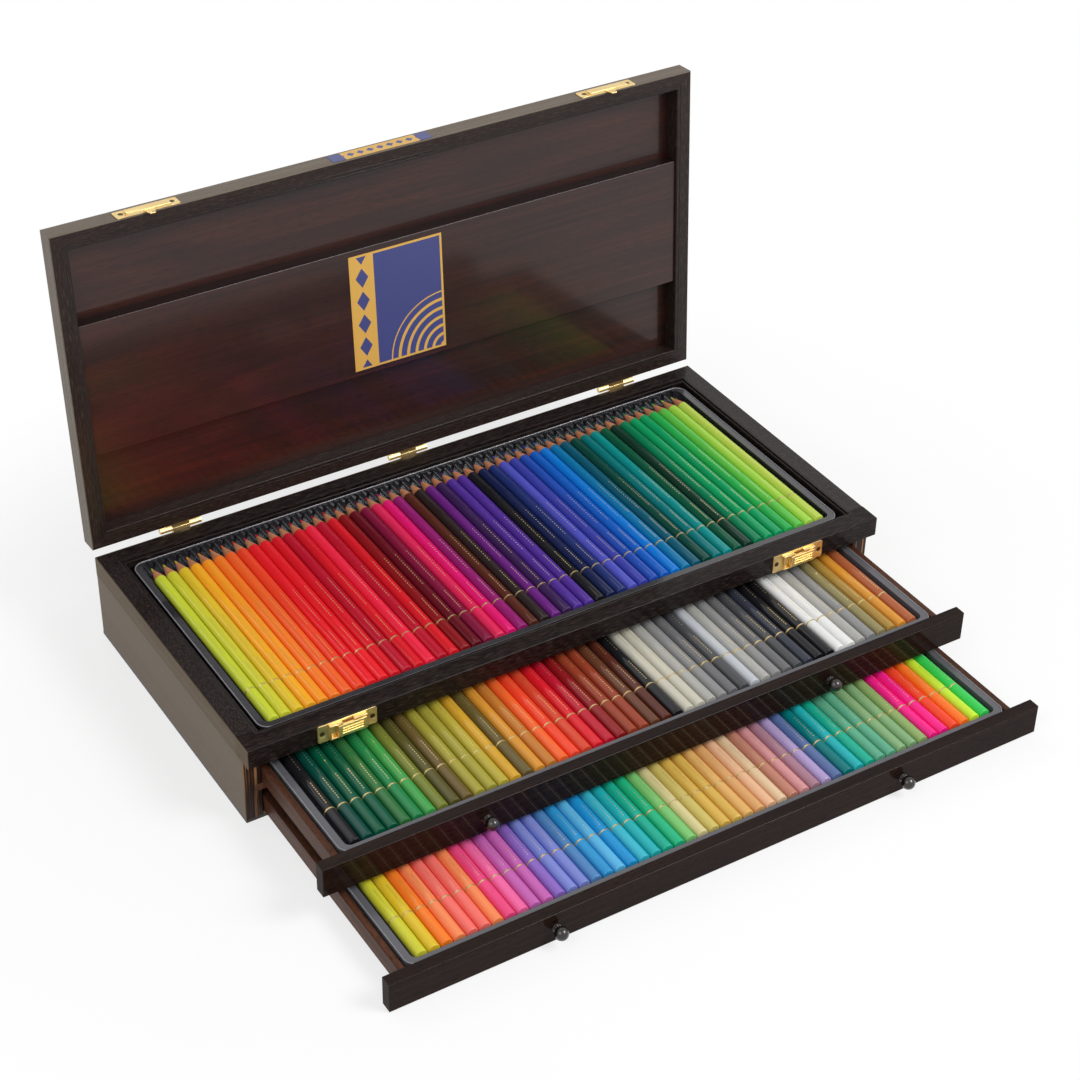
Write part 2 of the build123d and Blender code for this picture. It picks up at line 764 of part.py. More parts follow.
slider_back_y = case_plate_y - slider_seat_gap
pocket_front_y = tongue_front_y - tongue_thickness - slider_gap
slider_front_y = pocket_front_y - slider_face_thickness
pocket_left_x = -tongue_root_width / 2 - slider_gap
pocket_right_x = tongue_root_width / 2 + slider_gap + latch_travel
pocket_bottom_z = tongue_tip_z - slider_gap
for latch_name, latch_x in zip(("left", "right"), latch_middles):
    with BuildPart() as latch_slider:
        with BuildSketch(facing_front(slider_back_y)):
            with Locations((latch_x + slider_offset, case_plate_middle_z)):
                Rectangle(slider_width, slider_height)
        extrude(amount=slider_back_y - slider_front_y)
        with BuildSketch(facing_front(slider_back_y)):
            with Locations((latch_x + pocket_left_x, pocket_bottom_z)):
                Rectangle(
                    pocket_right_x - pocket_left_x,
                    case_height - pocket_bottom_z,
                    align=(Align.MIN, Align.MIN),
                )
        extrude(amount=slider_back_y - pocket_front_y, mode=Mode.SUBTRACT)
        with BuildSketch(facing_front(slider_back_y)):
            with Locations((latch_x + lug_rest_x, notch_z + slider_gap)):
                Rectangle(pocket_right_x - lug_rest_x, lug_height, align=(Align.MIN, Align.MIN))
        extrude(amount=slider_back_y - pocket_front_y)
        with BuildSketch(facing_front(slider_front_y)):
            with Locations((latch_x + slider_offset, case_plate_middle_z)):
                with GridLocations(0, slider_ridge_pitch, 1, slider_ridge_count):
                    Rectangle(slider_ridge_length, slider_ridge_width)
        extrude(amount=slider_ridge_rise)
    save("latch_slider_" + latch_name, latch_slider)

with BuildPart() as lid_latch_plates:
    with BuildSketch(on_lid(facing_front(case_front_y))):
        with Locations((0, lid_plate_middle_z)):
            with GridLocations(latch_spread, 0, 2, 1):
                RectangleRounded(lid_plate_width, lid_plate_height, plate_corner)
    extrude(amount=plate_thickness)
    with BuildSketch(on_lid(facing_front(case_plate_y))):
        with Locations((0, lid_plate_z)):
            with GridLocations(latch_spread, 0, 2, 1):
                Rectangle(lid_bar_width, lid_bar_height, align=(Align.CENTER, Align.MIN))
    extrude(amount=lid_bar_rise)
    for latch_x in latch_middles:
        with BuildSketch(on_lid(facing_front(tongue_front_y))):
            with BuildLine():
                Polyline(
                    (latch_x - tongue_root_width / 2, lid_plate_z + plate_thickness),
                    (latch_x - tongue_root_width / 2, lid_bottom_z),
                    (latch_x - tongue_tip_width / 2, tongue_tip_z),
                    (latch_x + tongue_tip_width / 2, tongue_tip_z),
                    (latch_x + tongue_root_width / 2, lid_bottom_z),
                    (latch_x + tongue_root_width / 2, lid_plate_z + plate_thickness),
                    close=True,
                )
            make_face()
            with Locations((latch_x + notch_inner_x, notch_z)):
                Rectangle(
                    tongue_root_width,
                    notch_height,
                    align=(Align.MIN, Align.MIN),
                    mode=Mode.SUBTRACT,
                )
        extrude(amount=tongue_thickness)
    screw_holes(lid_plate_places, *small_screw)
save("lid_latch_plates", lid_latch_plates)

lid_latch_screws = screws(lid_plate_places, *small_screw)
save("lid_latch_screws", lid_latch_screws)
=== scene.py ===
import json
import math

import bmesh
import bpy
from mathutils import Matrix, Vector


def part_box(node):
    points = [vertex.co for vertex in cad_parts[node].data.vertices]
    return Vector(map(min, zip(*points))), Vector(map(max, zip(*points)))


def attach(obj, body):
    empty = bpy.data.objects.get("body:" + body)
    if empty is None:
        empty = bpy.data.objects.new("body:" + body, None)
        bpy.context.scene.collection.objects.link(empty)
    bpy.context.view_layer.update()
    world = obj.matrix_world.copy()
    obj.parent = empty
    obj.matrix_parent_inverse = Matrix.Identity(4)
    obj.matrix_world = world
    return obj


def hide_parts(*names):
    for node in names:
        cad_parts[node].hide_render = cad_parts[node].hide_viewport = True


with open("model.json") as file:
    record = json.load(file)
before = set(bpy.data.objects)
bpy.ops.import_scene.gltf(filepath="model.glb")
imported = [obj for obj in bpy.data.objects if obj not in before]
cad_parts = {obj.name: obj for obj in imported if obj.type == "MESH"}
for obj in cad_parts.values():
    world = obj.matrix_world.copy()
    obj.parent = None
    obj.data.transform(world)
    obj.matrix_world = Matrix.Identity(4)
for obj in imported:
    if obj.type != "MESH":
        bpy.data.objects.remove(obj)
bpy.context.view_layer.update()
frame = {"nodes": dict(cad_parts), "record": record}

# ---- Camera ----
# A short telephoto lens looks down on the box from its front left corner, about
# a metre and a half away.
view_azimuth = math.radians(-32.276)
view_elevation = math.radians(36.004)
view_roll = math.radians(1.052)
view_target = Vector((0.04053, 0.00572, 0.04089))
view_distance = 1.6039

towards_camera = Vector((
    math.sin(view_azimuth) * math.cos(view_elevation),
    -math.cos(view_azimuth) * math.cos(view_elevation),
    math.sin(view_elevation),
))
level_right = (-towards_camera).cross(Vector((0, 0, 1))).normalized()
level_up = level_right.cross(-towards_camera)
camera_right = math.cos(view_roll) * level_right + math.sin(view_roll) * level_up
camera_up = math.cos(view_roll) * level_up - math.sin(view_roll) * level_right


def linked_object(name, data):
    """A new object in the scene that holds this camera, lamp or mesh."""
    holder = bpy.data.objects.new(name, data)
    bpy.context.scene.collection.objects.link(holder)
    return holder


lens = bpy.data.cameras.new("camera")
lens.lens = 80.6
lens.sensor_width = 36.0
lens.clip_start = 0.05
lens.clip_end = 60.0
camera = linked_object("camera", lens)
camera.matrix_world = (
    Matrix.Translation(view_target + view_distance * towards_camera)
    @ Matrix((camera_right, camera_up, towards_camera)).transposed().to_4x4()
)
bpy.context.scene.camera = camera
bpy.context.scene.view_settings.view_transform = "Standard"


# ---- Floor and studio light ----
# White paper that is lit white further out from the box. Large soft boxes hang high at
# the front right and left, and two narrow ones behind draw thin highlights.
floor_radius = 14.0
floor_corners = 64
floor_paper = (0.90, 0.90, 0.90, 1)
studio_grey = (0.44, 0.44, 0.44, 1)
box_middle = (0, -0.08, 0)
shadow_end = 0.3
glow_start = 0.52
glow_beside_box = 0.7


def add_node(tree, kind, inputs=None, **settings):
    """Adds a shader node. Each input is given a value, or the socket that feeds it."""
    made = tree.nodes.new(kind)
    for name, value in settings.items():
        setattr(made, name, value)
    for name, value in (inputs or {}).items():
        if isinstance(value, bpy.types.NodeSocket):
            tree.links.new(value, made.inputs[name])
        else:
            made.inputs[name].default_value = value
    return made


def new_material(name):
    """An empty material's node tree and its output node."""
    material = bpy.data.materials.new(name)
    material.use_nodes = True
    tree = material.node_tree
    tree.nodes.clear()
    return material, tree, add_node(tree, "ShaderNodeOutputMaterial")


def mesh_piece(name, vertices, faces):
    """A new object with its mesh in the frame's own coordinates."""
    mesh = bpy.data.meshes.new(name)
    mesh.from_pydata(vertices, [], faces)
    mesh.update()
    return linked_object(name, mesh)


def seen_directly(tree):
    """One for a ray from the camera, from a reflection, or through something clear."""
    rays = add_node(tree, "ShaderNodeLightPath")
    camera_or_glossy = add_node(
        tree, "ShaderNodeMath",
        {0: rays.outputs["Is Camera Ray"], 1: rays.outputs["Is Glossy Ray"]},
        operation="MAXIMUM",
    )
    return add_node(
        tree, "ShaderNodeMath",
        {0: camera_or_glossy.outputs[0], 1: rays.outputs["Is Transmission Ray"]},
        operation="MAXIMUM",
    ).outputs[0]


paper, tree, output = new_material("white_paper")
coordinates = add_node(tree, "ShaderNodeTexCoord")
fibres = add_node(
    tree, "ShaderNodeTexNoise", {"Vector": coordinates.outputs["Object"], "Scale": 900.0}
)
fibre_bump = add_node(
    tree, "ShaderNodeBump", {"Height": fibres.outputs["Fac"], "Strength": 0.05, "Distance": 0.0002}
)
matte = add_node(
    tree, "ShaderNodeBsdfDiffuse", {"Color": floor_paper, "Normal": fibre_bump.outputs["Normal"]}
)
glow = add_node(tree, "ShaderNodeEmission", {"Color": (1, 1, 1, 1), "Strength": 1.0})
reach = add_node(
    tree, "ShaderNodeVectorMath",
    {0: coordinates.outputs["Object"], 1: box_middle}, operation="DISTANCE",
)
sweep = add_node(
    tree, "ShaderNodeMapRange",
    {
        "Value": reach.outputs["Value"],
        "From Min": shadow_end,
        "From Max": glow_start,
        "To Min": glow_beside_box,
        "To Max": 1.0,
    },
    interpolation_type="SMOOTHSTEP",
)
glow_share = add_node(
    tree, "ShaderNodeMath",
    {0: seen_directly(tree), 1: sweep.outputs["Result"]}, operation="MULTIPLY",
)
paper_mix = add_node(
    tree, "ShaderNodeMixShader", {0: glow_share.outputs[0], 1: matte.outputs[0], 2: glow.outputs[0]}
)
tree.links.new(paper_mix.outputs[0], output.inputs["Surface"])

floor_angles = [math.tau * i / floor_corners for i in range(floor_corners)]
floor_points = [
    (floor_radius * math.cos(angle), floor_radius * math.sin(angle), 0.0) for angle in floor_angles
]
floor = mesh_piece("floor", floor_points, [tuple(range(floor_corners))])
floor.data.materials.append(paper)

world = bpy.data.worlds.new("studio")
bpy.context.scene.world = world
world.use_nodes = True
tree = world.node_tree
tree.nodes.clear()
room = add_node(tree, "ShaderNodeBackground", {"Color": studio_grey, "Strength": 1.0})
white = add_node(tree, "ShaderNodeBackground", {"Color": (1, 1, 1, 1), "Strength": 1.0})
room_mix = add_node(
    tree, "ShaderNodeMixShader", {0: seen_directly(tree), 1: room.outputs[0], 2: white.outputs[0]}
)
add_node(tree, "ShaderNodeOutputWorld", {"Surface": room_mix.outputs[0]})


def soft_box(name, place, aim, width, height, power):
    """A rectangular soft box that points at a spot on the table."""
    lamp = bpy.data.lights.new(name, "AREA")
    lamp.shape = "RECTANGLE"
    lamp.size = width
    lamp.size_y = height
    lamp.energy = power
    holder = linked_object(name, lamp)
    holder.location = place
    holder.rotation_euler = (Vector(aim) - Vector(place)).to_track_quat("-Z", "Y").to_euler()


soft_box("key_soft_box", (1.15, -1.55, 2.0), (0, -0.05, 0), 1.1, 1.1, 46.0)
soft_box("fill_soft_box", (-1.7, -0.9, 1.7), (0, -0.05, 0), 1.4, 1.4, 14.0)
soft_box("left_strip_box", (-1.1, 1.5, 1.3), (-0.1, -0.05, 0.05), 0.16, 1.0, 2.5)
soft_box("back_strip_box", (0.10, 1.7, 1.9), (0, -0.1, 0.05), 0.16, 0.7, 2.5)


# ---- Case panels ----
# The sides, back and bottom are thin boards stained espresso and rubbed smooth. The sides
# # and back are given a taupe lighter than the stain, which is painted sheen on their faces.
# They are butted and glued, and their front edges keep the stripes of cut wood.


def linear(red, green, blue):
    """A colour given in 0 to 255 screen values, as the linear values of a socket."""
    scaled = [value / 255 for value in (red, green, blue)]
    return tuple(v / 12.92 if v <= 0.04045 else ((v + 0.055) / 1.055) ** 2.4 for v in scaled) + (1,)


def new_group(name, vectors, numbers, results):
    """An empty node group with inputs for vectors and numbers and results that are
    numbers: the group, its input node and its output node."""
    group = bpy.data.node_groups.new(name, "ShaderNodeTree")
    for socket_names, kind, direction in (
        (vectors, "NodeSocketVector", "INPUT"),
        (numbers, "NodeSocketFloat", "INPUT"),
        (results, "NodeSocketFloat", "OUTPUT"),
    ):
        for socket_name in socket_names:
            group.interface.new_socket(socket_name, in_out=direction, socket_type=kind)
    return group, add_node(group, "NodeGroupInput"), add_node(group, "NodeGroupOutput")


# Noise that is drawn out along X.
marks_group, given, results = new_group(
    "drawn_out_marks", ("Vector", "Size"), ("Detail",), ("Marks",)
)
scaled = add_node(
    marks_group, "ShaderNodeVectorMath",
    {0: given.outputs["Vector"], 1: given.outputs["Size"]}, operation="DIVIDE",
)
noise = add_node(
    marks_group, "ShaderNodeTexNoise",
    {"Vector": scaled.outputs[0], "Scale": 1.0, "Detail": given.outputs["Detail"]},
)
marks_group.links.new(noise.outputs["Fac"], results.inputs["Marks"])


def stretched_noise(tree, vector, size, detail):
    """Noise drawn out along X: size is the length and width of its marks in metres."""
    return add_node(
        tree, "ShaderNodeGroup",
        {"Vector": vector, "Size": size, "Detail": detail}, node_tree=marks_group,
    ).outputs["Marks"]


def spread(tree, value, low, high, new_low=0.0, new_high=1.0):
    """Stretches the values from low to high to fill the new range, and clips the rest."""
    return add_node(
        tree, "ShaderNodeMapRange",
        {"Value": value, "From Min": low, "From Max": high, "To Min": new_low, "To Max": new_high},
    ).outputs["Result"]


# The grain of wood: open pores, streaks, and the broad figure of its growth rings.
streak_size = (0.16, 0.0026, 0.0026)
wave_size = (0.34, 0.045, 0.045)
rings_per_wave = 13.0
tree, given, results = new_group(
    "wood_grain", ("Vector",), ("Pore Length", "Pore Width"),
    ("Pores", "Streaks", "Figure", "Height"),
)
pore_width = given.outputs["Pore Width"]
pore_size = add_node(
    tree, "ShaderNodeCombineXYZ", {0: given.outputs["Pore Length"], 1: pore_width, 2: pore_width}
)
grain_place = given.outputs["Vector"]
pores = spread(tree, stretched_noise(tree, grain_place, pore_size.outputs[0], 2.0), 0.52, 0.66)
streaks = spread(tree, stretched_noise(tree, grain_place, streak_size, 4.0), 0.3, 0.7)
waves = stretched_noise(tree, grain_place, wave_size, 2.0)
rings = add_node(tree, "ShaderNodeMath", {0: waves, 1: rings_per_wave}, operation="MULTIPLY")
figure = add_node(tree, "ShaderNodeMath", {0: rings.outputs[0], 1: 1.0}, operation="PINGPONG")
sunk = add_node(tree, "ShaderNodeMath", {0: pores, 1: -0.8}, operation="MULTIPLY")
height = add_node(
    tree, "ShaderNodeMath", {0: streaks, 1: 0.25, 2: sunk.outputs[0]}, operation="MULTIPLY_ADD"
)
for socket_name, value in (
    ("Pores", pores), ("Streaks", streaks),
    ("Figure", figure.outputs[0]), ("Height", height.outputs[0]),
):
    tree.links.new(value, results.inputs[socket_name])
grain_group = tree

# One outside a box with its sides along the axes, and zero inside it.
tree, given, results = new_group("outside_box", ("Vector", "Low", "High"), (), ("Outside",))
below = add_node(
    tree, "ShaderNodeVectorMath",
    {0: given.outputs["Low"], 1: given.outputs["Vector"]}, operation="SUBTRACT",
)
above = add_node(
    tree, "ShaderNodeVectorMath",
    {0: given.outputs["Vector"], 1: given.outputs["High"]}, operation="SUBTRACT",
)
beyond = add_node(
    tree, "ShaderNodeVectorMath", {0: below.outputs[0], 1: above.outputs[0]}, operation="MAXIMUM"
)
parts = add_node(tree, "ShaderNodeSeparateXYZ", {0: beyond.outputs[0]})
furthest = parts.outputs[0]
for part in (parts.outputs[1], parts.outputs[2]):
    furthest = add_node(
        tree, "ShaderNodeMath", {0: furthest, 1: part}, operation="MAXIMUM"
    ).outputs[0]
is_outside = add_node(tree, "ShaderNodeMath", {0: furthest, 1: 0.0}, operation="GREATER_THAN")
tree.links.new(is_outside.outputs[0], results.inputs["Outside"])
outside_group = tree

along_x = (0, 0, 0)
along_y = (0, 0, math.radians(-90))


def wood(
    name, turn, tones, pore_size, roughness, bump, figure_share=0.2, coat=0.0, coat_roughness=0.1,
    specular=0.5, sheen_change=0.06, edges=None,
):
    """Stained wood: streaks between a dark and a light tone along the grain, and open
    pores of a third tone that are sunk into the surface. Edges gives the box inside
    which this holds, where that box lies, and the two tones and the grain outside it,
    where the wood is rubbed matt. On the rails and the lid those outside tones are a
    light taupe, painted sheen; on the lid's centre board they are darker, painted shade."""
    dark, light, pore = tones
    material, tree, output = new_material(name)
    coordinates = add_node(tree, "ShaderNodeTexCoord")
    turned = add_node(
        tree, "ShaderNodeMapping", {"Vector": coordinates.outputs["Object"], "Rotation": turn}
    )
    grain = add_node(tree, "ShaderNodeGroup", node_tree=grain_group)
    tree.links.new(turned.outputs[0], grain.inputs["Vector"])
    grain.inputs["Pore Length"].default_value = pore_size[0]
    grain.inputs["Pore Width"].default_value = pore_size[1]
    tone = add_node(
        tree, "ShaderNodeMix",
        {0: figure_share, 2: grain.outputs["Streaks"], 3: grain.outputs["Figure"]},
    )
    stain = add_node(
        tree, "ShaderNodeMix", {0: tone.outputs[0], 6: dark, 7: light}, data_type="RGBA"
    )
    colour = add_node(
        tree, "ShaderNodeMix",
        {0: grain.outputs["Pores"], 6: stain.outputs[2], 7: pore}, data_type="RGBA",
    )
    sheen = spread(
        tree, grain.outputs["Streaks"], 0.0, 1.0, roughness + sheen_change, roughness - sheen_change
    )
    relief = add_node(
        tree, "ShaderNodeBump",
        {"Height": grain.outputs["Height"], "Strength": bump, "Distance": 0.0003},
    )
    shown = colour.outputs[2]
    gloss = coat
    if edges:
        low, high, (place_turn, place_shift), edge_dark, edge_light, mark_size = edges
        placed = add_node(
            tree, "ShaderNodeMapping",
            {
                "Vector": coordinates.outputs["Object"],
                "Rotation": place_turn,
                "Location": place_shift,
            },
        )
        outside = add_node(
            tree, "ShaderNodeGroup", {"Vector": placed.outputs[0], "Low": low, "High": high},
            node_tree=outside_group,
        )
        marks = stretched_noise(tree, placed.outputs[0], mark_size, 3.0)
        edge_tone = add_node(
            tree, "ShaderNodeMix",
            {0: spread(tree, marks, 0.50, 0.62), 6: edge_dark, 7: edge_light}, data_type="RGBA",
        )
        shown = add_node(
            tree, "ShaderNodeMix",
            {0: outside.outputs[0], 6: shown, 7: edge_tone.outputs[2]}, data_type="RGBA",
        ).outputs[2]
        if coat:
            gloss = spread(tree, outside.outputs[0], 0.0, 1.0, coat, 0.0)
    surface = add_node(
        tree, "ShaderNodeBsdfPrincipled",
        {
            "Base Color": shown,
            "Roughness": sheen,
            "Normal": relief.outputs[0],
            "Specular IOR Level": specular,
            "Coat Weight": gloss,
            "Coat Roughness": coat_roughness,
        },
    )
    tree.links.new(surface.outputs[0], output.inputs["Surface"])
    return material


def dress(material, *node_names):
    """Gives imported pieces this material."""
    for node_name in node_names:
        node_object = frame["nodes"][node_name]
        for slot in node_object.material_slots:
            slot.material = material


as_it_stands = ((0, 0, 0), (0, 0, 0))
# Taupe lighter than the espresso stain: painted sheen.
sheen_taupe = (linear(97, 83, 66), linear(100, 86, 69))
side_wood = wood(
    "espresso_painted_sheen", along_y, (*sheen_taupe, linear(95, 81, 64)),
    (0.004, 0.0005), 0.45, 0.0, specular=0.2, sheen_change=0.01,
    edges=(
        (-1, -0.1017, -1), (1, 1, 1), as_it_stands,
        linear(40, 23, 16), linear(164, 116, 78), (0.0013, 0.01, 0.11),
    ),
)
dress(side_wood, "case_left_side", "case_right_side")
panel_wood = wood(
    "panel_espresso", along_x, (linear(40, 30, 27), linear(52, 40, 36), linear(30, 22, 20)),
    (0.004, 0.0005), 0.4, 0.2,
)
dress(panel_wood, "case_bottom", "tray_shelf")
# The back's light taupe is painted sheen as well.
back_wood = wood(
    "espresso_back_painted_sheen", along_x, (linear(90, 78, 64), linear(95, 83, 69), linear(86, 74, 61)),
    (0.004, 0.0005), 0.45, 0.02, specular=0.2, sheen_change=0.02,
)
dress(back_wood, "case_back")
runner_wood = wood(
    "runner_wood", along_y, (linear(88, 52, 34), linear(120, 76, 50), linear(60, 34, 24)),
    (0.004, 0.0005), 0.5, 0.25,
)
dress(runner_wood, "upper_runners", "lower_runners")

# ---- Top frame ----
# Four rails of open-grained wood, butted at the corners and stained nearly black.
# Their outer faces are rubbed as smooth as the sides below them, and take the sides' lighter
# # taupe, which is painted sheen.
rail_tones = (linear(14, 9, 9), linear(24, 16, 15), linear(60, 49, 44))
# Outside the opening, the rails' faces take the sides' light taupe: painted sheen.
rail_sheen_edges = (
    (-0.2295, -1, -1), (0.2295, 0.1095, 1), as_it_stands, *sheen_taupe, (0.05, 0.05, 0.004),
)
rail_wood_x = wood(
    "open_grain_long", along_x, rail_tones, (0.007, 0.0004), 0.5, 0.4, coat=0.2,
    coat_roughness=0.10, specular=0.05, edges=rail_sheen_edges,
)
rail_wood_y = wood(
    "open_grain_short", along_y, rail_tones, (0.003, 0.0005), 0.5, 0.5, coat=0.4,
    coat_roughness=0.16, specular=0.10, edges=rail_sheen_edges,
)
dress(rail_wood_x, "front_rail", "back_rail")
dress(rail_wood_y, "left_rail", "right_rail")


def bead_frame(
    name, body, material, middle, half_size, radius, rise,
    corner=0.0, place=Matrix.Identity(4),
):
    """A round bead let half into a face and run round a rectangle, with mitred or rounded
    corners. Rise is its height above the face; a negative one hangs down from it."""
    steps = 10  # points round the bead
    turns = 8 if corner else 0  # straight runs round each corner
    vertices = []
    for number, (side_x, side_y) in enumerate(((-1, -1), (1, -1), (1, 1), (-1, 1))):
        for turn in range(turns + 1):
            if corner:
                heading = math.pi * (1 + number / 2) + math.pi / 2 * turn / turns
                out_x, out_y = math.cos(heading), math.sin(heading)
            else:
                out_x, out_y = side_x, side_y
            for step in range(steps):
                angle = math.tau * step / steps
                out = corner - radius * math.cos(angle)
                vertices.append(place @ Vector((
                    middle[0] + side_x * (half_size[0] - corner) + out_x * out,
                    middle[1] + side_y * (half_size[1] - corner) + out_y * out,
                    middle[2] + rise * math.sin(angle),
                )))
    faces = []
    sections = 4 * (turns + 1)
    for section in range(sections):
        following = (section + 1) % sections
        for step in range(steps):
            beside = (step + 1) % steps
            faces.append((
                section * steps + step, following * steps + step,
                following * steps + beside, section * steps + beside,
            ))
    bead = mesh_piece(name, vertices, faces)
    if rise > 0:
        bead.data.flip_normals()
    for polygon in bead.data.polygons:
        polygon.use_smooth = True
    bead.data.materials.append(material)
    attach(bead, body)


# Two small beads run round the opening, one on the top and one in the rebate.
bead_wood = wood(
    "bead_wood", along_x, (linear(18, 13, 12), linear(34, 26, 24), linear(24, 18, 17)),
    (0.004, 0.0006), 0.4, 0.2, coat=0.2, specular=0.2,
)
rail_top_z = 0.0615
rebate_z = 0.0600
opening_middle_y = 0.0005
bead_frame(
    "rail_top_bead", "case", bead_wood, (0, opening_middle_y, rail_top_z),
    (0.2182, 0.0982), 0.0004, 0.0002,
)
bead_frame(
    "rail_rebate_bead", "case", bead_wood, (0, opening_middle_y, rebate_z),
    (0.21585, 0.09585), 0.0006, 0.0006,
)


# ---- Trays ----
# Thin smoky plastic sheet, vacuum formed, with a groove for each pencil. The sheet is
# # rolled over at its outer edge. The drawers' trays are a lighter grey copy of the same
# # sheet, painted reflection, and the rolled edge is lighter still, painted highlight.


def formed_sheet(name, colour, clearness, roughness, gloss):
    """Vacuum-formed sheet with slow ripples left by the mould."""
    material, tree, output = new_material(name)
    coordinates = add_node(tree, "ShaderNodeTexCoord")
    ripples = add_node(
        tree, "ShaderNodeTexNoise", {"Vector": coordinates.outputs["Object"], "Scale": 40.0}
    ).outputs["Fac"]
    ripple_bump = add_node(
        tree, "ShaderNodeBump", {"Height": ripples, "Strength": 0.08, "Distance": 0.0002}
    )
    surface = add_node(
        tree, "ShaderNodeBsdfPrincipled",
        {
            "Base Color": colour,
            "Roughness": spread(tree, ripples, 0.3, 0.7, roughness - 0.04, roughness + 0.06),
            "IOR": 1.49,
            "Transmission Weight": clearness,
            "Coat Weight": gloss,
            "Coat Roughness": 0.05,
            "Normal": ripple_bump.outputs[0],
        },
    )
    tree.links.new(surface.outputs[0], output.inputs["Surface"])
    return material


dark_sheet = formed_sheet("smoky_sheet", linear(50, 50, 55), 0.3, 0.16, 0.7)
# Lighter grey copy of the smoky sheet: painted reflection.
sheet_painted_reflection = formed_sheet("sheet_painted_reflection", linear(92, 92, 97), 0.1, 0.24, 0.0)
# Light grey lip: painted highlight on the rolled edge.
rolled_edge_painted_highlight = formed_sheet("rolled_edge_painted_highlight", linear(136, 136, 142), 0.2, 0.14, 0.0)
tray_corner = 0.008
lip_radius = 0.00045
body_of_node = {
    node_name: body
    for body, node_names in frame["record"]["behaviour"]["bodies"].items()
    for node_name in node_names
}
for tray_name, sheet in (
    ("top_tray", dark_sheet), ("upper_drawer_tray", sheet_painted_reflection), ("lower_drawer_tray", sheet_painted_reflection)
):
    dress(sheet, tray_name)
    low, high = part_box(tray_name)
    bead_frame(
        tray_name + "_lip", body_of_node[tray_name], rolled_edge_painted_highlight,
        ((low.x + high.x) / 2, (low.y + high.y) / 2, high.z),
        ((high.x - low.x) / 2 - lip_radius, (high.y - low.y) / 2 - lip_radius),
        lip_radius, lip_radius, corner=tray_corner - lip_radius,
    )


# ---- Pencils ----
# Round cedar pencils, dipped in gloss paint of the colour of their core, so that the
# butt's edge is rounded. A gold foil ring is pressed on near the butt, with a chain of
# small foil lozenges behind it, and the point is cut to bare wood.
paints = {
    "acid": (202, 214, 58), "citrus": (210, 208, 56), "lime": (168, 220, 78),
    "pear": (192, 216, 88), "yellow": (228, 194, 48), "gold": (250, 176, 40),
    "amber": (252, 158, 42), "orange": (250, 128, 42), "vermilion": (246, 104, 46),
    "flame": (244, 74, 44), "red": (238, 36, 46), "scarlet": (222, 30, 44),
    "crimson": (192, 26, 50), "rose_red": (246, 44, 74), "garnet": (142, 24, 30),
    "wine": (104, 18, 32), "claret": (134, 24, 62), "rose": (228, 42, 92),
    "magenta": (230, 26, 116), "plum": (150, 32, 114), "umber": (88, 42, 30),
    "soot_brown": (46, 34, 34), "purple": (108, 36, 128), "dark_violet": (60, 34, 84),
    "violet": (84, 50, 152), "black": (26, 26, 30), "dark_navy": (24, 34, 76),
    "navy": (34, 50, 112), "ultramarine": (82, 86, 192), "indigo": (62, 68, 168),
    "cobalt": (38, 80, 178), "blue": (22, 96, 194), "azure": (16, 124, 216),
    "sea_blue": (12, 120, 172), "petrol": (12, 90, 112), "deep_pine": (10, 72, 62),
    "teal": (8, 120, 122), "turquoise": (10, 144, 142), "pine": (10, 88, 62),
    "bottle": (18, 56, 42), "emerald": (10, 130, 86), "viridian": (16, 160, 98),
    "grass": (44, 178, 84), "apple": (96, 196, 76), "fern": (50, 114, 62),
    "meadow": (34, 132, 74), "clover": (66, 160, 78), "olive": (120, 128, 52),
    "dark_olive": (88, 84, 40), "moss": (106, 88, 46), "citron": (166, 158, 60),
    "mustard": (188, 172, 62), "sunflower": (216, 166, 50), "earth": (104, 90, 48),
    "honey": (220, 150, 52), "ochre": (198, 124, 50), "brick": (218, 72, 46),
    "rust": (154, 64, 40), "brown": (104, 62, 42), "warm_grey": (204, 200, 184),
    "light_grey": (176, 175, 170), "grey": (144, 144, 144), "steel_grey": (110, 110, 112),
    "dark_grey": (76, 77, 80), "cool_grey": (196, 200, 206), "slate": (54, 58, 70),
    "white": (238, 238, 236), "khaki": (148, 138, 94), "bronze": (172, 136, 62),
    "copper": (176, 98, 60), "salmon": (250, 140, 88), "coral": (248, 116, 106),
    "deep_pink": (240, 76, 132), "pink": (246, 106, 166), "orchid": (202, 102, 182),
    "lilac": (142, 106, 196), "periwinkle": (126, 138, 212), "steel_blue": (82, 134, 190),
    "cerulean": (48, 152, 210), "sky": (90, 182, 228), "aqua": (60, 184, 204),
    "mint": (36, 178, 182), "jade": (30, 174, 146), "sea_green": (36, 184, 130),
    "celadon": (126, 200, 116), "cyan_blue": (34, 150, 212), "cream": (218, 206, 148),
    "straw": (208, 190, 104), "corn": (220, 180, 84), "tan": (224, 168, 108),
    "apricot": (228, 178, 104), "peach": (236, 186, 146), "beige": (228, 196, 158),
    "clay": (192, 130, 110), "dusty_pink": (214, 148, 150), "mauve": (172, 126, 144),
    "lavender": (176, 156, 204), "dusk_blue": (92, 114, 162), "eucalyptus": (96, 174, 140),
    "sage": (134, 176, 124), "moss_grey": (146, 174, 106), "neon_pink": (250, 34, 140),
    "neon_orange": (255, 124, 40), "neon_lime": (200, 236, 56), "neon_green": (58, 206, 88),
}
